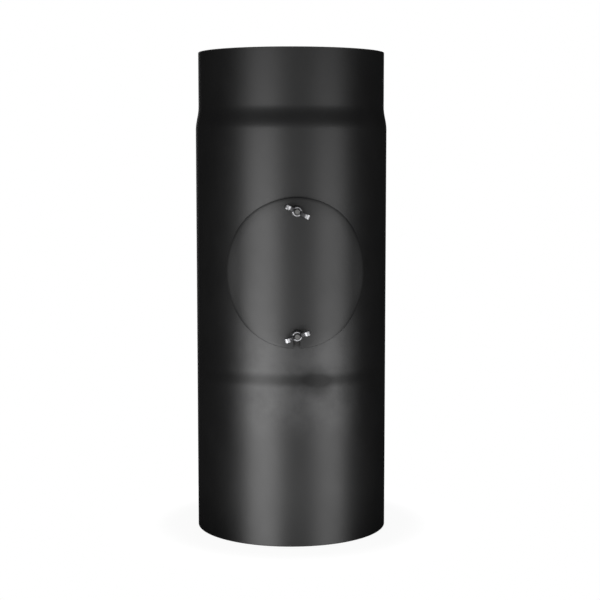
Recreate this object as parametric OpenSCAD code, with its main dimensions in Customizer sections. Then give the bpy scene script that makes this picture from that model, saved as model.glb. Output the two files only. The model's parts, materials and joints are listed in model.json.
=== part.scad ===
// Stove pipe with a cleanout opening closed by a curved lid on two wing nuts.
// The pipe stands on its socket end. The cleanout faces -Y.

/* [Pipe] */
// Outside diameter of the pipe body
pipe_od = 200; // [150:1:250]
// Wall thickness of the pipe
wall = 2; // [1:0.1:3]
// Length of the whole pipe, socket end to spigot end
pipe_length = 500; // [480:1:1000]
// Length of the straight part of the spigot, with its rim
spigot_length = 56; // [30:1:80]
// Height over which the body narrows to the spigot
swage_length = 24; // [10:1:40]
// Play on each side between this spigot and the next pipe's bore
spigot_play = 1; // [0.5:0.1:2]
// Size of the broken edge along both rims
edge_break = 0.4; // [0.1:0.05:0.45]
// Width of the weld bead down the back
seam_width = 4; // [2:0.5:6]
// Height of the weld bead above the body
seam_rise = 0.3; // [0.1:0.05:0.6]

/* [Cleanout] */
// Height of the middle of the cleanout above the socket end
lid_height = 277.5; // [200:0.5:300]
// Diameter of the round opening cut in the pipe
opening_d = 100; // [80:1:110]
// Diameter of the lid's blank before it is rolled
lid_d = 150; // [140:1:170]
// Thickness of the lid
lid_t = 2; // [1:0.1:3]
// Width of the strip along each side of the lid that rolling leaves flat
lid_flat = 14; // [4:1:20]
// Thickness of the pressed gasket
gasket_t = 2; // [1:0.1:4]
// How far the gasket stays back from the lid's edge
gasket_inset = 3; // [1:0.5:5]
// How far the gasket stays back from the opening's edge
gasket_margin = 1; // [0.5:0.5:4]

/* [Fasteners] */
// Outside diameter of the studs' thread
stud_d = 6; // [5:0.5:8]
// How far each stud sits inwards of midway between the opening's edge and the lid's edge
stud_shift = 1; // [0:0.5:2]
// Length of a stud above the pipe
stud_length = 16; // [15:0.5:24]
// Play around a stud in the lid and the gasket
stud_play = 0.5; // [0.2:0.1:0.8]
// Play between a nut's thread and its stud's
thread_play = 0.05; // [0.02:0.01:0.1]
// Outside diameter of a washer
washer_d = 12; // [11:0.5:14]
// Thickness of a washer
washer_t = 1.6; // [1:0.1:2]
// Play around a stud in a washer
washer_play = 0.2; // [0.1:0.05:0.4]
// Play between the lid's crown and a washer
seat_play = 0.1; // [0.05:0.05:0.3]

/* [Wing nuts] */
// Diameter of a nut's hub where it bears on its washer
hub_base_d = 11.4; // [10.5:0.1:13]
// Diameter of a nut's hub at its top
hub_top_d = 9.6; // [9:0.1:10.5]
// Height of a nut's hub
hub_h = 7; // [5:0.5:9]
// Span of a nut over both ears
ear_span = 28; // [24:0.5:36]
// Height of a nut over its ears
nut_h = 14; // [12:0.5:18]
// Radius of the round end of an ear, seen from the side
ear_end_r = 3.8; // [3:0.1:4.5]
// Thickness of an ear where it leaves the hub
ear_root_t = 3.6; // [2:0.1:4]
// Thickness of an ear at its end
ear_end_t = 4.8; // [3:0.1:5.5]
// Depth of the hollow along an ear's outer edge
ear_waist = 0.9; // [0.2:0.1:1.2]
// Height above the washer at which the ears begin
ear_start_h = 0.8; // [0.4:0.1:2]
// Turn of the upper nut from level, anticlockwise from the front
upper_turn = -26; // [-90:1:90]
// Turn of the lower nut from level, anticlockwise from the front
lower_turn = 19; // [-90:1:90]

/* [Hidden] */
$fn = 96;
eps = 0.01;

body_r = pipe_od / 2;
spigot_r = body_r - wall - spigot_play;
spigot_base = pipe_length - spigot_length;
body_top = spigot_base - swage_length;
swage_steps = 16;

gasket_outer_r = body_r + gasket_t;
lid_outer_r = gasket_outer_r + lid_t;
lid_blank_r = lid_d / 2;
lid_middle_r = gasket_outer_r + lid_t / 2;
lid_round_half = lid_blank_r - lid_flat;
lid_round_angle = lid_round_half / lid_middle_r * 180 / PI;
outline_steps = 96;
// How far the flats are sunk into the arc, so that the two meet in a clean edge
flat_sink = 0.02;

// Height of a stud above or below the lid's middle
stud_offset = (opening_d + lid_d) / 4 - stud_shift;
upper_z = lid_height + stud_offset;
lower_z = lid_height - stud_offset;
stud_hole_r = stud_d / 2 + stud_play;
washer_base = lid_outer_r + seat_play;
nut_base = washer_base + washer_t;

ear_end = [ear_span / 2 - ear_end_r, nut_h - ear_end_r];
ear_tip_u = ear_span / 2 - ear_end_t / 2;
ear_outer_root = [hub_base_d / 2 - edge_break, ear_start_h];
ear_inner_root = [hub_top_d / 2 - ear_root_t / 2, hub_h];

// Radius of an arc that rises by rise over a chord of the given width
function arc_radius(width, rise) = (width * width / 4 + rise * rise) / (2 * rise);

// Radius of the pipe's outside at the fraction t of the swage's height
function swage_r(t) = body_r + (spigot_r - body_r) * (1 - cos(180 * t)) / 2;

// Where the flat blank's coordinate s lands across the pipe once rolled
function rolled_x(s) =
    abs(s) <= lid_round_half
        ? lid_middle_r * sin(s / lid_middle_r * 180 / PI)
        : sign(s) * (lid_middle_r * sin(lid_round_angle)
                     + (abs(s) - lid_round_half) * cos(lid_round_angle));

// Where a line from point p touches the circle with centre c and radius r
function touch_point(c, r, p, side) =
    let (away = p - c, turn = atan2(away[1], away[0]) + side * acos(r / norm(away)))
        c + r * [cos(turn), sin(turn)];

// Half the section of the pipe, from its axis out to the outside surface less inset
module shell_profile(inset, low, high, broken) {
    polygon(concat(
        [[0, low], [body_r - inset - broken, low], [body_r - inset, low + broken]],
        [for (i = [0:swage_steps])
            [swage_r(i / swage_steps) - inset, body_top + swage_length * i / swage_steps]],
        [[spigot_r - inset, high - broken], [spigot_r - inset - broken, high], [0, high]]));
}

// A bar along -Y through the lid's plane at height z, for studs and holes
module across(r, z, from, to) {
    translate([0, -from, z])
        rotate([90, 0, 0])
            cylinder(r = r, h = to - from);
}

// A round blank of radius r, seen from the front after rolling
module rolled_disc(r) {
    polygon([for (i = [0:outline_steps - 1])
        let (a = 360 * i / outline_steps) [rolled_x(r * cos(a)), r * sin(a)]]);
}

// What lies behind a front view, from the axis out past the lid
module from_front(height) {
    translate([0, 0, height])
        rotate([90, 0, 0])
            linear_extrude(height = 2 * body_r)
                children();
}

// A round bar of radius r and height h, with flats that leave the arc at its ends
module flattened_bar(r, h) {
    out = [sin(lid_round_angle), -cos(lid_round_angle)];
    along = [cos(lid_round_angle), sin(lid_round_angle)];
    start = (r - flat_sink) * out;
    cylinder(r = r, h = h);
    for (flip = [0, 1])
        mirror([flip, 0, 0])
            linear_extrude(height = h)
                polygon([[0, 0], start, start + 2 * lid_flat * along]);
}

// The pipe, rolled from one sheet, welded down the back and swaged to a spigot
module pipe() {
    bead_r = arc_radius(seam_width, seam_rise);
    color([0.13, 0.13, 0.13])
        difference() {
            union() {
                rotate_extrude() shell_profile(0, 0, pipe_length, edge_break);
                translate([0, body_r + seam_rise - bead_r, edge_break])
                    cylinder(r = bead_r, h = body_top - edge_break);
            }
            rotate_extrude() shell_profile(wall, -eps, pipe_length + eps, 0);
            across(opening_d / 2, lid_height, 0, 2 * body_r);
        }
}

// The lid, a round plate rolled to lie on the gasket
module cleanout_lid() {
    color([0.15, 0.15, 0.15])
        difference() {
            intersection() {
                translate([0, 0, lid_height - lid_d])
                    flattened_bar(lid_outer_r, 2 * lid_d);
                from_front(lid_height) rolled_disc(lid_blank_r);
            }
            translate([0, 0, lid_height - 2 * lid_d])
                flattened_bar(gasket_outer_r, 4 * lid_d);
            across(stud_hole_r, upper_z, 0, 2 * body_r);
            across(stud_hole_r, lower_z, 0, 2 * body_r);
            translate([-stud_hole_r, -2 * body_r, lower_z - lid_d])
                cube([2 * stud_hole_r, 2 * body_r, lid_d]);
        }
}

// The gasket, a ring pressed between the pipe and the lid
module lid_gasket() {
    color([0.2, 0.19, 0.18])
        difference() {
            intersection() {
                translate([0, 0, lid_height - lid_d])
                    difference() {
                        cylinder(r = gasket_outer_r, h = 2 * lid_d);
                        translate([0, 0, -eps])
                            cylinder(r = body_r, h = 2 * lid_d + 2 * eps);
                    }
                from_front(lid_height) rolled_disc(lid_blank_r - gasket_inset);
            }
            from_front(lid_height) rolled_disc(opening_d / 2 + gasket_margin);
            for (z = [upper_z, lower_z])
                across(stud_hole_r, z, 0, 2 * body_r);
        }
}

// A stud, its foot shaped to the pipe that it is welded to
module stud(z) {
    color([0.25, 0.25, 0.25])
        difference() {
            across(stud_d / 2, z, body_r - wall, body_r + stud_length);
            translate([0, 0, z - stud_d])
                cylinder(r = body_r, h = 2 * stud_d);
        }
}

// A washer that bridges the lid's hole or slot
module washer(z) {
    color([0.2, 0.2, 0.2])
        difference() {
            across(washer_d / 2, z, washer_base, washer_base + washer_t);
            across(stud_d / 2 + washer_play, z, washer_base - 1, washer_base + washer_t + 1);
        }
}

// One ear from the side, with its round end and the hollow along its outer edge
module ear_side() {
    inner_touch = touch_point(ear_end, ear_end_r, ear_inner_root, -1);
    outer_touch = touch_point(ear_end, ear_end_r, ear_outer_root, 1);
    edge = outer_touch - ear_outer_root;
    out = [edge[1], -edge[0]] / norm(edge);
    waist_r = arc_radius(norm(edge), ear_waist);
    difference() {
        union() {
            translate(ear_end) circle(r = ear_end_r);
            polygon([[0, ear_start_h], ear_outer_root, outer_touch, ear_end,
                     inner_touch, ear_inner_root, [0, hub_h]]);
        }
        translate(ear_outer_root + edge / 2 + (waist_r - ear_waist) * out)
            circle(r = waist_r);
    }
}

// One ear from above, narrow at the hub and thick at its end
module ear_plan() {
    translate([ear_tip_u, 0]) circle(r = ear_end_t / 2);
    polygon([[0, -ear_root_t / 2], [hub_base_d / 2, -ear_root_t / 2],
             [ear_tip_u, -ear_end_t / 2], [ear_tip_u, ear_end_t / 2],
             [hub_base_d / 2, ear_root_t / 2], [0, ear_root_t / 2]]);
}

// A wing nut standing on z = 0, its ears along X
module nut_upright() {
    difference() {
        union() {
            cylinder(d1 = hub_base_d, d2 = hub_top_d, h = hub_h);
            for (turn = [0, 180])
                rotate([0, 0, turn])
                    intersection() {
                        translate([0, ear_end_t, 0])
                            rotate([90, 0, 0])
                                linear_extrude(height = 2 * ear_end_t) ear_side();
                        linear_extrude(height = nut_h) ear_plan();
                    }
        }
        translate([0, 0, -1])
            cylinder(r = stud_d / 2 + thread_play, h = nut_h + 2);
    }
}

// A wing nut screwed down on its washer at height z
module wing_nut(z, turn) {
    color([0.78, 0.78, 0.8])
        translate([0, -nut_base, z])
            rotate([90, 0, 0])
                rotate([0, 0, turn])
                    nut_upright();
}

pipe();
cleanout_lid();
lid_gasket();
stud(upper_z);  // upper_stud
stud(lower_z);  // lower_stud
washer(upper_z);  // upper_washer
washer(lower_z);  // lower_washer
wing_nut(upper_z, upper_turn);  // upper_wing_nut
wing_nut(lower_z, lower_turn);  // lower_wing_nut
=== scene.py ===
# %% [markdown]
# # A stove pipe with a cleanout
#
# The object is a length of black stove pipe, 200 mm across and half a metre tall. Its top is
# narrowed to a spigot that slips into the next pipe. A round lid, rolled to the pipe's curve,
# covers a hole in the front, so that soot can be brushed out. Two wing nuts hold the lid.
#
# The construction is done already: the imported model gives every piece its size and its place.
# This lesson gives the pieces their true surfaces. The first cell loads that frame.

# %% Load the frame
import json
import math

import bmesh
import bpy
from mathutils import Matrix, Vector


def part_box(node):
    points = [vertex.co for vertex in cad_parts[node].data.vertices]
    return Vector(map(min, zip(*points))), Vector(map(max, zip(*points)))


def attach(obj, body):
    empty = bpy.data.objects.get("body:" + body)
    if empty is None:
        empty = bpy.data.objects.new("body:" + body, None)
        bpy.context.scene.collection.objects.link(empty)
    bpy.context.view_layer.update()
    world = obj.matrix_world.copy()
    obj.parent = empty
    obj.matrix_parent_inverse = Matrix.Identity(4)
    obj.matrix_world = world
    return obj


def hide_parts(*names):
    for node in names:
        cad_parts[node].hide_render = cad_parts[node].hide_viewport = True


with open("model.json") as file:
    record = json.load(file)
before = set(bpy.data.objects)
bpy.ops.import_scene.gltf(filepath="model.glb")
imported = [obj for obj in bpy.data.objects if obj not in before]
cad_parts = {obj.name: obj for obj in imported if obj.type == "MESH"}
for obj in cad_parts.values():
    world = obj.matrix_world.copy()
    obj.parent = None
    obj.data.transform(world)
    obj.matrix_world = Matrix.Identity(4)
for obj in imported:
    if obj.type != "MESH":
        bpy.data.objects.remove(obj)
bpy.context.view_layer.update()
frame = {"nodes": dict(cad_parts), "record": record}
nodes = frame["nodes"]
record = frame["record"]
scene = bpy.context.scene
MM = 0.001
print("frame holds", ", ".join(sorted(nodes)))

# %% [markdown]
# ## Sizes
#
# A maker works from a few driving sizes. Here the bores and the spigot come from the record's
# mounts, and heights and places from the boxes of the nodes. Only what no box can tell, such as
# the wall of the sheet or the pitch of the thread, is written as a number.

# %% Sizes from the frame
mounts = {mount["name"]: mount for mount in record["mounts"]}
WALL = 2 * MM
BORE_R = mounts["socket"]["dims"]["r_mm"] * MM
BODY_R = BORE_R + WALL
SPIGOT_R = mounts["spigot"]["dims"]["r_mm"] * MM
PIPE_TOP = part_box("pipe")[1].z
BODY_TOP = mounts["socket"]["dims"]["length_mm"] * MM
SWAGE_H = 24 * MM
EDGE_R = 0.4 * MM

lid_low, lid_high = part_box("cleanout_lid")
LID_Z = (lid_low.z + lid_high.z) / 2
LID_R = 75 * MM
LID_T = 2 * MM
LID_FLAT = 14 * MM
GASKET_T = 2 * MM
GASKET_R = LID_R - 3 * MM
OPENING_R = 50 * MM
GASKET_HOLE_R = OPENING_R + 1 * MM
GASKET_OUT = BODY_R + GASKET_T

STUDS = {}
for level in ("upper", "lower"):
    low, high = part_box(level + "_stud")
    STUDS[level] = (low.z + high.z) / 2
STUD_TIP = -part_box("upper_stud")[0].y
STUD_OFFSET = (STUDS["upper"] - STUDS["lower"]) / 2
STUD_R = 3 * MM
STUD_HOLE_R = 3.5 * MM
print("pipe", round(BODY_R / MM), "mm radius,", round(PIPE_TOP / MM), "mm tall, lid at", round(LID_Z / MM))

# %% [markdown]
# ## Writing nodes as sums
#
# A node tree is easier to read as a formula than as a heap of links. `Wire` wraps one output
# socket, and plain operators on it add Math nodes. The reflected forms, such as `__rsub__`, let
# a number stand on the left, as in `1 - mask`. `Graph` adds any other node from its type, its
# settings and the values or links of its inputs. Geometry and shading trees share both.

# %% Wires and graphs
class Wire:
    """One output socket of a node tree, on which sums can be written."""

    def __init__(self, graph, socket):
        self.graph = graph
        self.socket = socket

    def math(self, operation, *values):
        inputs = dict(enumerate(values))
        return self.graph.node("ShaderNodeMath", {"operation": operation}, inputs)

    def __add__(self, other):
        return self.math("ADD", self, other)

    __radd__ = __add__

    def __sub__(self, other):
        return self.math("SUBTRACT", self, other)

    def __rsub__(self, other):
        return self.math("SUBTRACT", other, self)

    def __mul__(self, other):
        return self.math("MULTIPLY", self, other)

    __rmul__ = __mul__

    def __truediv__(self, other):
        return self.math("DIVIDE", self, other)

    def __rtruediv__(self, other):
        return self.math("DIVIDE", other, self)

    def __pow__(self, power):
        return self.math("POWER", self, power)

    def call(self, name, *others):
        """A function of this wire, such as sine, floor, minimum or absolute."""
        return self.math(name.upper(), self, *others)


class Graph:
    """A node tree that is written as calls."""

    def __init__(self, tree):
        self.tree = tree

    def node(self, kind, settings=None, inputs=None, out=0):
        made = self.tree.nodes.new(kind)
        for key, value in (settings or {}).items():
            setattr(made, key, value)
        for key, value in (inputs or {}).items():
            self.plug(self.find(made.inputs, key), value)
        return Wire(self, self.find(made.outputs, out))

    def find(self, sockets, key):
        shown = [socket for socket in sockets if socket.enabled]
        if isinstance(key, int):
            return shown[key]
        return next(socket for socket in shown if socket.name == key)

    def plug(self, socket, value):
        if isinstance(value, Wire):
            self.tree.links.new(value.socket, socket)
        elif isinstance(value, (list, tuple)) and any(isinstance(part, Wire) for part in value):
            joined = self.node("ShaderNodeCombineXYZ", None, dict(zip("XYZ", value)))
            self.tree.links.new(joined.socket, socket)
        else:
            socket.default_value = value

    def part(self, vector, letter):
        """One letter of a vector, X, Y or Z."""
        return self.node("ShaderNodeSeparateXYZ", None, {"Vector": vector}, letter)

    def smooth(self, value, low, high):
        """A soft step from 0 at low to 1 at high."""
        settings = {"interpolation_type": "SMOOTHSTEP"}
        return self.node("ShaderNodeMapRange", settings, {"Value": value, "From Min": low, "From Max": high})


print("wires and graphs are ready")

# %% [markdown]
# ## Geometry trees and their results
#
# Each tree is a small machine with named sizes. `Maker` starts one, with a profile coming in
# and a finished piece going out, and always ends it the same way: instances become real, edges
# sharper than a fold keep their crease, and the finish goes on. `make_piece` feeds it a profile
# and its sizes, and keeps the result as a plain mesh, so no modifier stays on the piece.

# %% Makers and pieces
CREASE = math.radians(38)


class Maker(Graph):
    """A geometry tree with named sizes."""

    def __init__(self, name, sizes):
        super().__init__(bpy.data.node_groups.new(name, "GeometryNodeTree"))
        face = self.tree.interface
        face.new_socket("Geometry", in_out="OUTPUT", socket_type="NodeSocketGeometry")
        face.new_socket("Geometry", in_out="INPUT", socket_type="NodeSocketGeometry")
        kinds = {float: "NodeSocketFloat", int: "NodeSocketInt", tuple: "NodeSocketVector"}
        for size, value in sizes.items():
            face.new_socket(size, in_out="INPUT", socket_type=kinds[type(value)]).default_value = value
        face.new_socket("Finish", in_out="INPUT", socket_type="NodeSocketMaterial")
        self.given = self.tree.nodes.new("NodeGroupInput")

    def size(self, name):
        return Wire(self, self.given.outputs[name])

    def done(self, shape, finished=True):
        if finished:
            shape = self.node("GeometryNodeRealizeInstances", None, {"Geometry": shape})
            shape = self.node("GeometryNodeSetShadeSmooth", {"domain": "FACE"}, {"Geometry": shape})
            fold = self.node("GeometryNodeInputMeshEdgeAngle").call("greater_than", CREASE)
            sharp = {"Geometry": shape, "Selection": fold, "Shade Smooth": False}
            shape = self.node("GeometryNodeSetShadeSmooth", {"domain": "EDGE"}, sharp)
            finish = {"Geometry": shape, "Material": self.size("Finish")}
            shape = self.node("GeometryNodeSetMaterial", None, finish)
        end = self.tree.nodes.new("NodeGroupOutput")
        self.plug(end.inputs["Geometry"], shape)
        return self.tree


def make_piece(name, maker, profile, finish, **sizes):
    """Runs a maker's tree on a profile of (radius, height) points, and keeps a plain mesh."""
    seed = bpy.data.meshes.new(name + "_profile")
    links = [(i, i + 1) for i in range(len(profile) - 1)]
    seed.from_pydata([(radius, 0, height) for radius, height in profile], links, [])
    holder = bpy.data.objects.new(name + "_holder", seed)
    scene.collection.objects.link(holder)
    modifier = holder.modifiers.new("maker", "NODES")
    modifier.node_group = maker
    for item in maker.interface.items_tree:
        key = item.name.lower().replace(" ", "_")
        if item.in_out == "INPUT" and key in sizes:
            modifier[item.identifier] = sizes[key]
        if item.in_out == "INPUT" and key == "finish":
            modifier[item.identifier] = finish
    return keep_mesh(name, holder)


def keep_mesh(name, holder):
    """Swaps an object with live modifiers for a plain mesh object of the same shape."""
    bpy.context.view_layer.update()
    shaped = holder.evaluated_get(bpy.context.evaluated_depsgraph_get())
    mesh = bpy.data.meshes.new_from_object(shaped)
    mesh.name = name
    bpy.data.objects.remove(holder)
    piece = bpy.data.objects.new(name, mesh)
    scene.collection.objects.link(piece)
    mesh.calc_loop_triangles()
    print(name, len(mesh.loop_triangles), "triangles")
    return piece


# %% [markdown]
# ## The camera
#
# The photograph was taken from about a metre and a half, with a lens of some 85 mm held a
# little below the top of the pipe and tipped down. That is why the lower rim bulges more than
# the upper one. The camera stands 3 degrees to the left of the lid, so the wing nuts show to
# the right of the middle. All of this was measured from the two rims and the two sides.

# %% Camera
CAMERA_DISTANCE = 1509.3 * MM
CAMERA_HEIGHT = 396.1 * MM
CAMERA_AZIMUTH = math.radians(-3)
CAMERA_TIP = math.radians(5.88)
CAMERA_SWING = math.radians(0.352)
LENS_MM = 85.58

camera_data = bpy.data.cameras.new("portrait")
camera_data.lens = LENS_MM
camera_data.sensor_width = 36
camera_data.clip_start = 10 * MM
camera = bpy.data.objects.new("portrait", camera_data)
camera.location = (
    CAMERA_DISTANCE * math.sin(CAMERA_AZIMUTH),
    -CAMERA_DISTANCE * math.cos(CAMERA_AZIMUTH),
    CAMERA_HEIGHT,
)
camera.rotation_euler = (math.radians(90) - CAMERA_TIP, 0, CAMERA_AZIMUTH - CAMERA_SWING)
scene.collection.objects.link(camera)
scene.camera = camera
print("camera", [round(value, 3) for value in camera.location])

# %% [markdown]
# ## Finishes
#
# `Finish` is a graph for one material. Its textures read Object coordinates, so they stay on
# the piece wherever it moves. Noise is the raw stuff of most finishes: at half a millimetre it
# is the sandy grain of sprayed paint, at four centimetres the uneven shine that hands leave.

# %% Finish helper
class Finish(Graph):
    """One procedural material."""

    def __init__(self, name):
        self.material = bpy.data.materials.new(name)
        self.material.use_nodes = True
        super().__init__(self.material.node_tree)
        self.shader = self.tree.nodes["Principled BSDF"]
        self.place = self.node("ShaderNodeTexCoord", None, None, "Object")

    def stretched(self, scale, shift=(0, 0, 0)):
        """The object's coordinates, scaled and shifted."""
        given = {"Vector": self.place, "Scale": scale, "Location": shift}
        return self.node("ShaderNodeMapping", None, given)

    def noise(self, scale, detail=2.0, roughness=0.5, vector=None):
        """A noise between 0 and 1 whose lumps are 1 / scale metres across."""
        given = {
            "Vector": vector or self.place,
            "Scale": scale,
            "Detail": detail,
            "Roughness": roughness,
        }
        return self.node("ShaderNodeTexNoise", None, given, "Fac")

    def mix(self, share, first, second):
        """A colour that goes from first to second as share goes from 0 to 1."""
        given = {"Factor": share, "A": colour(first), "B": colour(second)}
        return self.node("ShaderNodeMix", {"data_type": "RGBA"}, given)

    def bump(self, height, strength, distance, under=None):
        given = {"Strength": strength, "Distance": distance, "Height": height}
        if under:
            given["Normal"] = under
        return self.node("ShaderNodeBump", None, given)

    def set(self, **values):
        """Fills sockets of the main shader, such as base_color or roughness."""
        for key, value in values.items():
            name = "IOR" if key == "ior" else key.replace("_", " ").title().replace("Ior", "IOR")
            self.plug(self.shader.inputs[name], colour(value))
        return self.material


def colour(value):
    """A colour with its alpha, or anything else as it is."""
    if isinstance(value, tuple) and len(value) == 3 and not any(isinstance(v, Wire) for v in value):
        return (*value, 1.0)
    return value


print("finish helper is ready")

# %% [markdown]
# ## Stove paint
#
# Heat-resistant black is sprayed on and baked. It dries satin, not matt: the two soft lamps
# draw long grey bands down the pipe. Close up it has a fine sandy grain, some orange peel, and
# faint upright streaks from the rolled sheet. The cut rims carry less paint and look greyer.
#
# The front below the lid carries painted reflection: a dark, dull patch with a thin trail to
# each side stands in for dark things reflected in the pipe, and a lighter haze round it is
# painted light. The dark patch is a second, dull shader that a mask mixes in.

# %% Stove paint
PAINT_DARK = (0.0046, 0.0046, 0.0048)
PAINT_GREY = (0.0088, 0.0088, 0.009)
BARE_STEEL = (0.09, 0.088, 0.085)
PAINT_ROUGHNESS = 0.4
# Painted light and shade on the front: a lighter grey haze and a dull black patch stand in for reflections.
PAINTED_LIGHT_GREY = (0.058, 0.058, 0.059)
REFLECTION_BLACK = (0.0035, 0.0035, 0.0035)
MARK_Z = 169 * MM
TRAIL_HALF = 9 * MM
TRAIL_WANDER = 12 * MM
DARK_PATCH_AZIMUTH = math.radians(12)
DARK_PATCH_R = 21 * MM


def painted_reflection_marks(paint):
    """Painted reflection below the lid: a dark, dull patch with a thin trail, and a painted lighter haze
    round it.
    """
    x = paint.part(paint.place, "X")
    y = paint.part(paint.place, "Y")
    up = paint.part(paint.place, "Z") - MARK_Z
    azimuth = x.call("arctan2", y * -1)
    aside = azimuth.call("absolute")
    wander = (paint.noise(16, 3) - 0.5) * TRAIL_WANDER
    off_trail = (up + wander).call("absolute")
    trail = (1 - paint.smooth(off_trail, 1 * MM, TRAIL_HALF)) * (1 - paint.smooth(aside, 0.9, 1.35))
    beside = (azimuth - DARK_PATCH_AZIMUTH) * BODY_R
    from_dark_patch = (beside * beside + up * up) ** 0.5 + wander
    dark_patch = 1 - paint.smooth(from_dark_patch, 5 * MM, DARK_PATCH_R)
    patch = paint.smooth(paint.noise(13, 3, 0.55, paint.stretched((1, 1, 1), (5, 2, 3))), 0.3, 0.7)
    # The dark patch and its trail are painted dark reflection.
    dark_reflection = (trail * (0.16 + 0.24 * patch) + dark_patch * 0.42).call("minimum", 0.55)
    # The haze round them is painted light.
    band = paint.smooth(up, -75 * MM, -22 * MM) * (1 - paint.smooth(up, 20 * MM, 100 * MM))
    cloud = paint.smooth(paint.noise(22, 5, 0.6), 0.28, 0.62)
    light_haze = band * cloud * (1 - paint.smooth(aside, 0.35, 0.8)) * (1 - trail)
    return dark_reflection, light_haze


def stove_paint(name, rims, rubbed=(), with_painted_reflection=False):
    """Satin black over sheet steel. rims are (height, fade) pairs, rubbed are ring marks."""
    paint = Finish(name)
    x = paint.part(paint.place, "X")
    z = paint.part(paint.place, "Z")
    grain = paint.noise(2200, 2)
    peel = paint.noise(420, 1)
    mottle = paint.noise(24, 4, 0.6)
    streak = paint.noise(1, 3, 0.6, paint.stretched((140, 140, 5)))
    dust = paint.noise(1, 5, 0.7, paint.stretched((9, 9, 6), (3, 1, 7)))

    worn = paint.noise(700, 3, 0.7) * 0.6 + 0.4
    edge = None
    for height, fade in rims:
        near = 1 - paint.smooth((z - height).call("absolute"), 0, fade)
        edge = near if edge is None else edge.call("maximum", near)
    for mark_x, mark_z, inner, outer in rubbed:
        away = ((x - mark_x) ** 2 + (z - mark_z) ** 2) ** 0.5
        ring = paint.smooth(away, inner - 0.4 * MM, inner) * (1 - paint.smooth(away, outer - 0.6 * MM, outer))
        ring = ring * 0.5
        edge = ring if edge is None else edge.call("maximum", ring)
    bare = (edge * worn).call("minimum", 1)

    share = (mottle * 0.5 + streak * 0.25 + dust * 0.45 - 0.1).call("maximum", 0)
    painted = paint.mix(share, PAINT_DARK, PAINT_GREY)
    rough = PAINT_ROUGHNESS + 0.1 * (mottle - 0.5) + 0.1 * (dust - 0.5) + 0.06 * (grain - 0.5)
    relief = paint.bump(peel, 0.12, 0.08 * MM)
    relief = paint.bump(grain, 0.22, 0.05 * MM, relief)
    # Painted reflection: the haze lightens the base colour, and the dull dark shader darkens the patch.
    if with_painted_reflection:
        dark_reflection, light_haze = painted_reflection_marks(paint)
        painted = paint.mix(light_haze * 0.6, painted, PAINTED_LIGHT_GREY)
        dull = {"Base Color": (*REFLECTION_BLACK, 1.0), "Roughness": 0.95, "Specular IOR Level": 0.1}
        dull = paint.node("ShaderNodeBsdfPrincipled", None, dull)
        both = {0: dark_reflection, 1: Wire(paint, paint.shader.outputs[0]), 2: dull}
        surface = paint.node("ShaderNodeMixShader", None, both)
        paint.plug(paint.tree.nodes["Material Output"].inputs["Surface"], surface)
    return paint.set(
        base_color=paint.mix(bare * 0.55, painted, BARE_STEEL),
        roughness=rough + 0.08 * bare,
        specular_ior_level=0.5,
        normal=relief,
    )


pipe_paint = stove_paint("stove_paint", [(0, 1.2 * MM), (PIPE_TOP, 1.2 * MM)], with_painted_reflection=True)
lid_marks = [(0, level, 5.0 * MM, 6.6 * MM) for level in STUDS.values()]
lid_paint = stove_paint("lid_paint", [], lid_marks)
print("paints", pipe_paint.name, lid_paint.name)

# %% [markdown]
# ## Zinc
#
# The wing nuts are cast, with a thin zinc plating. New zinc is bright and bluish, but it soon
# dulls in patches. Low on the nut, near the pipe, the zinc is darkened as painted shade.

# %% Zinc
ZINC_BRIGHT = (0.46, 0.46, 0.475)
ZINC_DULL = (0.27, 0.27, 0.28)
ZINC_SHADE = (0.035, 0.034, 0.032)


def zinc(name, roughness, grain_size, shade_from, shade_to):
    """Zinc plating. Painted shade fades in along Y from one depth to another, towards the pipe."""
    plate = Finish(name)
    cloud = plate.noise(260, 4, 0.6)
    spot = plate.noise(900, 2)
    grain = plate.noise(1 / grain_size, 2)
    share = plate.smooth(cloud * 0.7 + spot * 0.3, 0.38, 0.66)
    skin = plate.mix(share, ZINC_BRIGHT, ZINC_DULL)
    # Painted shade: the zinc darkens towards the pipe, where the nut sits close to the washer.
    depth = plate.part(plate.place, "Y")
    painted_shade = plate.smooth(depth + (cloud - 0.5) * 3 * MM, shade_from, shade_to)
    skin = plate.mix(painted_shade * 0.7, skin, ZINC_SHADE)
    rough = roughness + 0.16 * (cloud - 0.5) + 0.1 * share
    relief = plate.bump(grain, 0.3, 0.05 * MM)
    return plate.set(base_color=skin, metallic=1.0, roughness=rough, normal=relief)


nut_zinc = zinc("zinc_nut", 0.4, 0.35 * MM, -111 * MM, -105 * MM)
print("metal", nut_zinc.name)

# %% [markdown]
# ## Painted thread, black washers and the gasket
#
# The studs are welded on before the pipe is painted, so they are black too, until the nut rubs
# the paint off the crests and the point. The washers are black-oxide steel, dark and a little
# oily. The gasket is fibre board filled with graphite, nearly black, with short fibres in it.

# %% Dark finishes
RUBBED_STEEL = (0.2, 0.198, 0.195)
OXIDE = (0.011, 0.011, 0.0115)
OXIDE_WORN = (0.05, 0.05, 0.05)
GRAPHITE_DARK = (0.008, 0.008, 0.008)
GRAPHITE_LIGHT = (0.026, 0.025, 0.024)


def from_stud(dark):
    """Distance from the axis of the nearer stud."""
    x = dark.part(dark.place, "X")
    z = dark.part(dark.place, "Z")
    near = [(z - level).call("absolute") for level in STUDS.values()]
    up = near[0].call("minimum", near[1])
    return (x * x + up * up) ** 0.5


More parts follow.
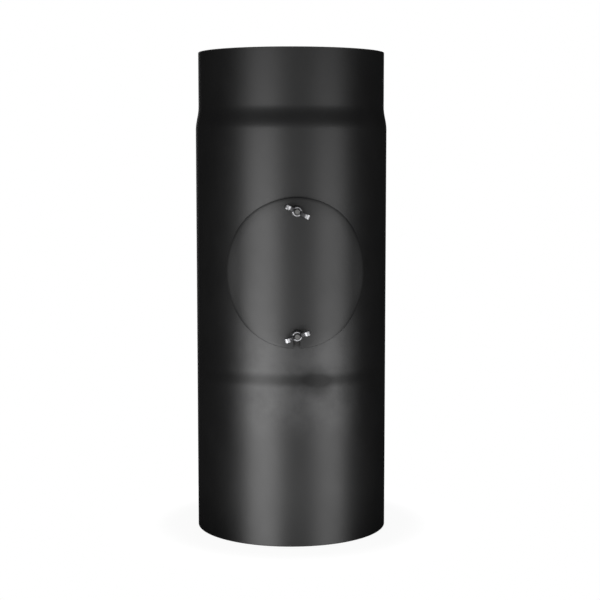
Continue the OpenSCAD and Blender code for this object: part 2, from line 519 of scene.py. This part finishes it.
thread = Finish("painted_stud")
crest = thread.smooth(from_stud(thread), STUD_R - 0.25 * MM, STUD_R - 0.05 * MM)
point = 1 - thread.smooth(thread.part(thread.place, "Y"), -STUD_TIP + 0.1 * MM, -STUD_TIP + 0.9 * MM)
chips = thread.smooth(thread.noise(1500, 4, 0.7), 0.35, 0.6)
rubbed = (crest * 0.6 + point * 0.9).call("minimum", 1) * chips
painted_thread = thread.set(
    base_color=thread.mix(rubbed, PAINT_GREY, RUBBED_STEEL),
    metallic=rubbed * 0.6,
    roughness=0.42 + 0.1 * chips,
    normal=thread.bump(thread.noise(2600, 2), 0.3, 0.04 * MM),
)

oxide = Finish("black_washer")
cloud = oxide.noise(420, 4, 0.6)
rim_wear = oxide.smooth(from_stud(oxide), 5.6 * MM, 5.95 * MM) * oxide.smooth(cloud, 0.4, 0.6)
black_oxide = oxide.set(
    base_color=oxide.mix(rim_wear * 0.6, OXIDE, OXIDE_WORN),
    metallic=0.3,
    roughness=0.38 + 0.16 * cloud,
    normal=oxide.bump(oxide.noise(2400, 2), 0.25, 0.04 * MM),
)

fibre = Finish("black_gasket")
strands = fibre.noise(1, 4, 0.7, fibre.stretched((900, 900, 260)))
cross_strands = fibre.noise(1, 4, 0.7, fibre.stretched((260, 700, 900)))
felt = strands * 0.5 + cross_strands * 0.5
gasket_fibre = fibre.set(
    base_color=fibre.mix(fibre.smooth(felt, 0.3, 0.7), GRAPHITE_DARK, GRAPHITE_LIGHT),
    roughness=0.85,
    normal=fibre.bump(felt, 0.6, 0.2 * MM),
)
print("dark finishes", painted_thread.name, black_oxide.name, gasket_fibre.name)

# %% [markdown]
# ## The lathe
#
# Nearly everything here is round: the pipe is a tube, the lid starts as a disc, and washers and
# studs are turned. So the first tree is a lathe, and the others borrow it as a group. It lays
# out a grid with one column per step of the turn and one row per point of the profile, and
# each point of the grid asks the profile for its radius and its height. The seam where the
# last column meets the first, and the rows that meet on the axis, are then welded.

# %% Lathe tree
WELD = 0.002 * MM
lathe = Maker("lathe", {"Steps": 96})
profile_in = lathe.size("Geometry")
point_count = lathe.node("GeometryNodeAttributeDomainSize", {"component": "MESH"}, {0: profile_in})
index = lathe.node("GeometryNodeInputIndex")
column = ((index + 0.5) / point_count).call("floor")
row = index - column * point_count
position = lathe.node("GeometryNodeInputPosition")
sampled = lathe.node(
    "GeometryNodeSampleIndex",
    {"data_type": "FLOAT_VECTOR"},
    {"Geometry": profile_in, "Value": position, "Index": row},
)
turn = column / lathe.size("Steps") * math.tau
radius = lathe.part(sampled, "X")
blank = lathe.node(
    "GeometryNodeMeshGrid",
    None,
    {"Vertices X": lathe.size("Steps") + 1, "Vertices Y": point_count},
)
on_circle = (radius * turn.call("cosine"), radius * turn.call("sine"), lathe.part(sampled, "Z"))
turned = lathe.node("GeometryNodeSetPosition", None, {"Geometry": blank, "Position": on_circle})
turned = lathe.node("GeometryNodeMergeByDistance", None, {"Geometry": turned, "Distance": WELD})
lathe_tree = lathe.done(turned, finished=False)


def turned_by(maker):
    """The profile that comes into a maker, turned on the lathe."""
    given = {"Geometry": maker.size("Geometry"), "Steps": maker.size("Steps")}
    return maker.node("GeometryNodeGroup", {"node_tree": lathe_tree}, given)


print("lathe has", len(lathe_tree.nodes), "nodes")

# %% [markdown]
# ## Profiles
#
# A profile is a short list of points, radius first. It runs so that the material lies on its
# left hand: up the outside, over the rim, down the inside. Corners are small arcs, with one
# extra row just before each, so that the smooth shading of the rounded edge doesn't bleed out
# over the flat.

# %% Profile helpers
ROLL_OVER = 0.35 * MM
ROLL_WIDTH = 11 * MM


def corner(centre_r, centre_z, start, steps=3, round_r=EDGE_R):
    """A quarter arc that begins at the given angle, in degrees."""
    angles = [math.radians(start + 90 * i / steps) for i in range(steps + 1)]
    return [(centre_r + round_r * math.cos(a), centre_z + round_r * math.sin(a)) for a in angles]


def ring_profile(inner, outer, thickness, round_r, spacing):
    """The section of a flat ring: out along the bottom, up, back along the top, and down."""
    low, high = inner + round_r, outer - round_r
    count = max(1, round((high - low) / spacing))
    bottom = [(low + (high - low) * i / count, 0) for i in range(1, count)]
    top = [(r, thickness) for r, _ in reversed(bottom)]
    points = corner(low, round_r, 180, 3, round_r) + bottom + corner(high, round_r, 270, 3, round_r)
    points += corner(high, thickness - round_r, 0, 3, round_r) + top
    points += corner(low, thickness - round_r, 90, 3, round_r)
    return points + points[:1]


def disc_profile(outer, thickness, round_r, spacing):
    """The section of a round plate whose face falls off a little towards the rim."""

    def face(r):
        return thickness - ROLL_OVER * max(0, (r - outer + ROLL_WIDTH) / ROLL_WIDTH) ** 2

    high = outer - round_r
    count = round(high / spacing)
    bottom = [(high * i / count, 0) for i in range(count)]
    top = [(r, face(r)) for r, _ in reversed(bottom)]
    points = bottom + corner(high, round_r, 270, 3, round_r)
    return points + corner(high, face(high) - round_r, 0, 3, round_r) + top


print("the lid has", len(disc_profile(LID_R, LID_T, EDGE_R, 2.5 * MM)), "profile points")

# %% [markdown]
# ## The pipe
#
# The real pipe is one sheet, rolled and welded down the back. A swaging tool then presses the
# top inwards. The step is not a corner but a soft S, so its radius follows half a wave of the
# cosine over 24 mm. The tree turns that profile and cuts the cleanout with a round tool driven
# in from the front, as the press does.

# %% Pipe tree and pipe
PIPE_STEPS = 288
ROW_H = 5 * MM
SWAGE_ROWS = 16


def outside_r(z):
    """Radius of the pipe's outside at height z."""
    share = min(max((z - BODY_TOP) / SWAGE_H, 0), 1)
    return BODY_R + (SPIGOT_R - BODY_R) * (1 - math.cos(math.pi * share)) / 2


def pipe_profile():
    body = [BODY_TOP * i / round(BODY_TOP / ROW_H) for i in range(1, round(BODY_TOP / ROW_H))]
    swage = [BODY_TOP + SWAGE_H * i / SWAGE_ROWS for i in range(SWAGE_ROWS + 1)]
    neck_rows = 10
    neck_h = PIPE_TOP - BODY_TOP - SWAGE_H
    neck = [swage[-1] + neck_h * i / neck_rows for i in range(1, neck_rows)]
    hold = 2 * EDGE_R
    rows = [hold, *body, *swage, *neck, PIPE_TOP - hold]
    outside = [(outside_r(z), z) for z in rows]
    inside = [(r - WALL, z) for r, z in reversed(outside)]
    top = corner(SPIGOT_R - EDGE_R, PIPE_TOP - EDGE_R, 0)
    top += corner(SPIGOT_R - WALL + EDGE_R, PIPE_TOP - EDGE_R, 90)
    foot = corner(BORE_R + EDGE_R, EDGE_R, 180) + corner(BODY_R - EDGE_R, EDGE_R, 270)
    return outside + top + inside + foot + outside[:1]


pipe_maker = Maker("pipe_maker", {"Steps": 96, "Opening Radius": 0.05, "Opening Height": 0.25, "Reach": 0.1})
tool = pipe_maker.node(
    "GeometryNodeMeshCylinder",
    None,
    {"Vertices": 128, "Radius": pipe_maker.size("Opening Radius"), "Depth": pipe_maker.size("Reach")},
)
driven_in = (0.0, pipe_maker.size("Reach") * -0.5 - 40 * MM, pipe_maker.size("Opening Height"))
lying = {"Geometry": tool, "Translation": driven_in, "Rotation": (math.radians(90), 0, 0)}
tool = pipe_maker.node("GeometryNodeTransform", None, lying)
cut = pipe_maker.node(
    "GeometryNodeMeshBoolean",
    {"operation": "DIFFERENCE", "solver": "MANIFOLD"},
    {"Mesh 1": turned_by(pipe_maker), "Mesh 2": tool},
)
pipe_tree = pipe_maker.done(cut)

pipe_shell = make_piece(
    "pipe_shell", pipe_tree, pipe_profile(), pipe_paint,
    steps=PIPE_STEPS, opening_radius=OPENING_R, opening_height=LID_Z, reach=BODY_R,
)
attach(pipe_shell, "pipe")
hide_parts("pipe")

# %% [markdown]
# ## The weld down the back
#
# The rolled sheet is closed by one long weld. It is ground off where the spigot has to slide,
# and elsewhere it stands up by a hair, with the fish-scale ripples that the welder's steps
# leave. A path with a flat oval swept along it gives the bead, and the rule that moves its
# points adds a ripple every couple of millimetres, bent like a row of fallen coins.

# %% Weld bead tree and bead
BEAD_W = 4 * MM
BEAD_RISE = 0.28 * MM
BEAD_STEP = 1.8 * MM

bead_maker = Maker(
    "bead_maker",
    {"Width": 0.004, "Rise": 0.0003, "Ripple": 0.002, "Bottom": 0.0, "Top": 0.4, "Radius": 0.1},
)
line = bead_maker.node(
    "GeometryNodeCurvePrimitiveLine",
    None,
    {"Start": (0.0, 0.0, bead_maker.size("Bottom")), "End": (0.0, 0.0, bead_maker.size("Top"))},
)
line = bead_maker.node("GeometryNodeResampleCurve", {"mode": "COUNT"}, {"Curve": line, "Count": 1100})
oval = bead_maker.node("GeometryNodeCurvePrimitiveCircle", None, {"Resolution": 16, "Radius": 1.0})
swept = bead_maker.node(
    "GeometryNodeCurveToMesh", None, {"Curve": line, "Profile Curve": oval, "Fill Caps": True}
)
place = bead_maker.node("GeometryNodeInputPosition")
across = bead_maker.part(place, "X")
lift = bead_maker.part(place, "Y")
height = bead_maker.part(place, "Z")
wave = (height / bead_maker.size("Ripple") + across * across * 0.45) * math.tau
rise = bead_maker.size("Rise") * lift * (0.8 + 0.2 * wave.call("sine"))
angle = across * bead_maker.size("Width") * 0.5 / bead_maker.size("Radius")
reach = bead_maker.size("Radius") + rise
rolled = (reach * angle.call("sine") * -1, reach * angle.call("cosine"), height)
bead = bead_maker.node("GeometryNodeSetPosition", None, {"Geometry": swept, "Position": rolled})
bead_tree = bead_maker.done(bead)

weld_bead = make_piece(
    "weld_bead", bead_tree, [(0, 0), (0, 0)], pipe_paint,
    width=BEAD_W, rise=BEAD_RISE, ripple=BEAD_STEP, bottom=3 * MM, top=BODY_TOP - 1 * MM, radius=BODY_R,
)
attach(weld_bead, "pipe")

# %% [markdown]
# ## The lid and its gasket
#
# The maker stamps a flat disc, punches the stud hole and the open slot, and only then rolls it.
# The tree works in that order. Rolling is one formula: the distance across the disc becomes an
# angle round the pipe. A sheet can't be rolled right up to its edge, so a strip along each side
# stays flat, and it catches the light a little differently, as in the photograph. The gasket is
# a ring from the same tree.

# %% Plate tree
plate_maker = Maker(
    "plate_maker",
    {
        "Steps": 128, "Inner Radius": 0.1, "Thickness": 0.002, "Round Half": 0.06,
        "Height": 0.25, "Stud Offset": 0.06, "Stud Hole": 0.0035, "Slot Length": 0.01,
    },
)
hole_r = plate_maker.size("Stud Hole")
offset = plate_maker.size("Stud Offset")
slot_l = plate_maker.size("Slot Length")
punches = []
for side in (1, -1):
    blank = {"Vertices": 48, "Radius": hole_r, "Depth": 0.02}
    punch = plate_maker.node("GeometryNodeMeshCylinder", None, blank)
    moved = {"Geometry": punch, "Translation": (0.0, offset * side, 0.0)}
    punches.append(plate_maker.node("GeometryNodeTransform", None, moved))
saw = plate_maker.node("GeometryNodeMeshCube", None, {"Size": (hole_r * 2, slot_l, 0.02)})
saw = plate_maker.node(
    "GeometryNodeTransform", None, {"Geometry": saw, "Translation": (0.0, offset * -1 - slot_l * 0.5, 0.0)}
)
plate = turned_by(plate_maker)
for punch in (*punches, saw):
    plate = plate_maker.node(
        "GeometryNodeMeshBoolean",
        {"operation": "DIFFERENCE", "solver": "MANIFOLD"},
        {"Mesh 1": plate, "Mesh 2": punch},
    )
place = plate_maker.node("GeometryNodeInputPosition")
across = plate_maker.part(place, "X")
inner_r = plate_maker.size("Inner Radius")
round_half = plate_maker.size("Round Half")
bent = across.call("minimum", round_half).call("maximum", round_half * -1)
straight = across - bent
angle = bent / (inner_r + plate_maker.size("Thickness") * 0.5)
depth = inner_r + plate_maker.part(place, "Z")
rolled = (
    depth * angle.call("sine") + straight * angle.call("cosine"),
    straight * angle.call("sine") - depth * angle.call("cosine"),
    plate_maker.part(place, "Y") + plate_maker.size("Height"),
)
plate = plate_maker.node("GeometryNodeSetPosition", None, {"Geometry": plate, "Position": rolled})
plate_tree = plate_maker.done(plate)
print("plate tree has", len(plate_tree.nodes), "nodes")

# %% Lid and gasket
lid_plate = make_piece(
    "lid_plate", plate_tree, disc_profile(LID_R, LID_T, EDGE_R, 2.5 * MM), lid_paint,
    steps=160, inner_radius=GASKET_OUT, thickness=LID_T, round_half=LID_R - LID_FLAT,
    height=LID_Z, stud_offset=STUD_OFFSET, stud_hole=STUD_HOLE_R, slot_length=LID_R,
)
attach(lid_plate, "pipe")
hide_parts("cleanout_lid")

gasket_section = ring_profile(GASKET_HOLE_R, GASKET_R, GASKET_T, 0.5 * MM, 2.5 * MM)
gasket_ring = make_piece(
    "gasket_ring", plate_tree, gasket_section, gasket_fibre,
    steps=144, inner_radius=BODY_R, thickness=GASKET_T, round_half=GASKET_R,
    height=LID_Z, stud_offset=STUD_OFFSET, stud_hole=STUD_HOLE_R, slot_length=0.1 * MM,
)
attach(gasket_ring, "pipe")
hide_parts("lid_gasket")

# %% [markdown]
# ## Studs and washers
#
# A stud is turned too, and then its thread is rolled. On a right-hand thread the crest climbs
# one pitch for each full turn, so the distance along the axis minus the share of the turn says
# how deep the groove is at any point. The tree takes the smaller of the turned radius and that
# groove, which leaves the pointed end as it is. A washer is the same tree with no groove.

# %% Turned hardware tree
turned_maker = Maker(
    "turned_maker",
    {"Steps": 48, "Crest Radius": 0.003, "Thread Depth": 0.0005, "Pitch": 0.001, "Place": (0.0, 0.0, 0.0)},
)
place = turned_maker.node("GeometryNodeInputPosition")
x = turned_maker.part(place, "X")
y = turned_maker.part(place, "Y")
z = turned_maker.part(place, "Z")
away = ((x * x + y * y) ** 0.5).call("maximum", 1e-6)
climb = (z / turned_maker.size("Pitch") - y.call("arctan2", x) / math.tau).call("fract")
groove = (climb * 2 - 1).call("absolute")
kept = away.call("minimum", turned_maker.size("Crest Radius") - turned_maker.size("Thread Depth") * groove)
threaded = turned_maker.node(
    "GeometryNodeSetPosition",
    None,
    {"Geometry": turned_by(turned_maker), "Position": (x * kept / away, y * kept / away, z)},
)
seated = {
    "Geometry": threaded,
    "Translation": turned_maker.size("Place"),
    "Rotation": (math.radians(90), 0, 0),
}
turned_tree = turned_maker.done(turned_maker.node("GeometryNodeTransform", None, seated))

# %% Studs and washers
THREAD_PITCH = 1 * MM
THREAD_DEPTH = 0.54 * MM
STUD_CHAMFER = 0.7 * MM
ROWS_PER_PITCH = 8
WASHER_T = 1.6 * MM
WASHER_R = 6 * MM
WASHER_BORE_R = 3.2 * MM


def stud_profile(length):
    """A rod from its closed foot to its chamfered end."""
    count = round((length - STUD_CHAMFER) / THREAD_PITCH * ROWS_PER_PITCH)
    side = [(STUD_R, (length - STUD_CHAMFER) * i / count) for i in range(count + 1)]
    return [(0, 0), *side, (STUD_R - STUD_CHAMFER, length), (0, length)]


for level, stud_z in STUDS.items():
    stud = make_piece(
        level + "_threaded_stud", turned_tree, stud_profile(STUD_TIP - BODY_R), painted_thread,
        steps=48, crest_radius=STUD_R, thread_depth=THREAD_DEPTH, pitch=THREAD_PITCH,
        place=(0.0, -BODY_R, stud_z),
    )
    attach(stud, "pipe")
    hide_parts(level + "_stud")

    washer_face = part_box(level + "_washer")[1].y
    washer = make_piece(
        level + "_flat_washer", turned_tree,
        ring_profile(WASHER_BORE_R, WASHER_R, WASHER_T, 0.25 * MM, 1 * MM), black_oxide,
        steps=64, crest_radius=1.0, thread_depth=0.0, pitch=THREAD_PITCH,
        place=(0.0, washer_face, stud_z),
    )
    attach(washer, level + "_washer")
    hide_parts(level + "_washer")

# %% [markdown]
# ## The wing nuts
#
# A wing nut is cast, so nothing on it is sharp: the ears run into the hub in soft hollows and
# their ends are plump. The construction model has the right form but crisp edges. A copy of it
# is welded into one skin, rebuilt from cubes a quarter of a millimetre wide, and relaxed a few
# times, which rounds every edge by about the right amount. The bore is then drilled again.

# %% Wing nuts
VOXEL = 0.25 * MM
NUT_BORE_R = 3.05 * MM
RELAX_TIMES = 7


def drill(level):
    """A rod through a nut's bore, with a cone at each end for the countersinks."""
    low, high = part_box(level + "_wing_nut")
    tool_mesh = bpy.data.meshes.new(level + "_drill")
    shape = bmesh.new()
    bmesh.ops.create_cone(
        shape, cap_ends=True, segments=64, radius1=NUT_BORE_R, radius2=NUT_BORE_R, depth=40 * MM
    )
    for vertex in shape.verts:
        vertex.co = Vector((vertex.co.x, vertex.co.z, -vertex.co.y)) + Vector((0, high.y, STUDS[level]))
    shape.to_mesh(tool_mesh)
    shape.free()
    rod = bpy.data.objects.new(level + "_drill", tool_mesh)
    scene.collection.objects.link(rod)
    return rod


def cast_nut(level):
    node = nodes[level + "_wing_nut"]
    skin = bmesh.new()
    skin.from_mesh(node.data)
    bmesh.ops.remove_doubles(skin, verts=skin.verts, dist=0.001 * MM)
    mesh = bpy.data.meshes.new(level + "_skin")
    skin.to_mesh(mesh)
    skin.free()
    holder = bpy.data.objects.new(level + "_holder", mesh)
    scene.collection.objects.link(holder)
    rebuilt = holder.modifiers.new("rebuilt", "REMESH")
    rebuilt.mode = "VOXEL"
    rebuilt.voxel_size = VOXEL
    relaxed = holder.modifiers.new("relaxed", "SMOOTH")
    relaxed.factor = 0.5
    relaxed.iterations = RELAX_TIMES
    rod = drill(level)
    drilled = holder.modifiers.new("drilled", "BOOLEAN")
    drilled.operation = "DIFFERENCE"
    drilled.solver = "MANIFOLD"
    drilled.object = rod
    piece = keep_mesh(level + "_cast_nut", holder)
    bpy.data.objects.remove(rod)
    piece.data.shade_smooth()
    piece.data.set_sharp_from_angle(angle=CREASE)
    piece.data.materials.clear()
    piece.data.materials.append(nut_zinc)
    return piece


for level in STUDS:
    nut = cast_nut(level)
    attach(nut, level + "_wing_nut")
    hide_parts(level + "_wing_nut")

# %% [markdown]
# ## Floor, lamps and background
#
# Satin black shows hardly any colour of its own. What the eye reads as its shape is the
# reflection of the lamps: one wide soft lamp to the left and one to the right, both tall and
# upright, so each draws a band down the pipe. They reach below the table, and the table is
# hidden from mirror rays, so the bands run down to the lower rim. The room behind the camera
# is dim, and dark boards stand at the sides, which keeps the edges of the pipe deep. Only the
# background behind the object is white.

# %% Floor
TABLE_R = 0.2
TABLE_WHITE = 0.86
GLOW_NEAR = 0.84
GLOW = 1.09

floor_mesh = bpy.data.meshes.new("table_top")
disc = bmesh.new()
bmesh.ops.create_circle(disc, cap_ends=True, segments=96, radius=TABLE_R)
disc.to_mesh(floor_mesh)
disc.free()
floor = bpy.data.objects.new("table_top", floor_mesh)
floor.location.z = -0.2 * MM
floor.visible_glossy = False
scene.collection.objects.link(floor)

table = Finish("table_white")
rays = table.tree.nodes.new("ShaderNodeLightPath")
by_camera = Wire(table, rays.outputs["Is Camera Ray"])
by_glass = Wire(table, rays.outputs["Is Transmission Ray"])
table_x = table.part(table.place, "X")
table_y = table.part(table.place, "Y")
far = table.smooth((table_x * table_x + table_y * table_y) ** 0.5, 0.12, 0.19)
direct = (by_camera + by_glass).call("minimum", 1)
table.set(base_color=(TABLE_WHITE,) * 3, roughness=0.8, specular_ior_level=0.0)
glow = table.node("ShaderNodeEmission", None, {"Color": (1, 1, 1, 1), "Strength": GLOW})
lit = Wire(table, table.shader.outputs[0])
glow_share = direct * (GLOW_NEAR + far * (1 - GLOW_NEAR))
surface = table.node("ShaderNodeMixShader", None, {0: glow_share, 1: lit, 2: glow})
table.plug(table.tree.nodes["Material Output"].inputs["Surface"], surface)
floor_mesh.materials.append(table.material)

# %% Lamps
LAMP_DISTANCE = 1.5


def soft_lamp(name, azimuth, height, width, tall, radiance):
    """A tall soft lamp that faces the middle of the pipe. Its power follows from its size."""
    data = bpy.data.lights.new(name, "AREA")
    data.shape = "RECTANGLE"
    data.size = width
    data.size_y = tall
    data.energy = radiance * math.pi * width * tall
    lamp = bpy.data.objects.new(name, data)
    turn = math.radians(azimuth)
    lamp.location = (LAMP_DISTANCE * math.sin(turn), -LAMP_DISTANCE * math.cos(turn), height)
    aim = Vector((0, 0, height)) - lamp.location
    lamp.rotation_euler = aim.to_track_quat("-Z", "Y").to_euler()
    lamp.visible_camera = False
    scene.collection.objects.link(lamp)
    print(name, "at", azimuth, "degrees,", round(data.energy, 1), "W")


soft_lamp("left_lamp", -36, -0.15, 1.0, 1.1, 4.8)
soft_lamp("right_lamp", 42, -0.15, 0.9, 1.1, 2.9)
soft_lamp("back_lamp", 180, 0.4, 0.4, 1.4, 2.0)

# %% World
WORLD_FILL = 0.35
ROOM_GREY = 0.36
CEILING_GREY = 0.02
LOW_GREY = 1.0
BOARD_GREY = 0.008

world = bpy.data.worlds.new("studio")
scene.world = world
world.use_nodes = True
sky = Graph(world.node_tree)
direction = sky.node("ShaderNodeTexCoord", None, None, "Generated")
depth_way = sky.part(direction, "Y")
path = world.node_tree.nodes.new("ShaderNodeLightPath")
camera_ray = Wire(sky, path.outputs["Is Camera Ray"])
clear_ray = Wire(sky, path.outputs["Is Transmission Ray"])
glossy_ray = Wire(sky, path.outputs["Is Glossy Ray"])
background_part = sky.smooth(depth_way, 0.94, 0.99)
up_way = sky.part(direction, "Z")
room = CEILING_GREY + (ROOM_GREY - CEILING_GREY) * (1 - sky.smooth(up_way, 0.05, 0.32))
room = room + (LOW_GREY - ROOM_GREY) * sky.smooth(up_way * -1, 0.0, 0.2)
room_part = sky.smooth(depth_way * -1, 0.1, 0.7)
mirrored = BOARD_GREY + background_part * (1 - BOARD_GREY) + room_part * (room - BOARD_GREY)
direct_ray = (camera_ray + clear_ray).call("minimum", 1)
other_ray = 1 - (direct_ray + glossy_ray).call("minimum", 1)
strength = direct_ray + glossy_ray * mirrored + other_ray * WORLD_FILL
background = world.node_tree.nodes["Background"]
background.inputs["Color"].default_value = (1, 1, 1, 1)
sky.plug(background.inputs["Strength"], strength)

scene.view_settings.view_transform = "Standard"
print("world fill", WORLD_FILL)
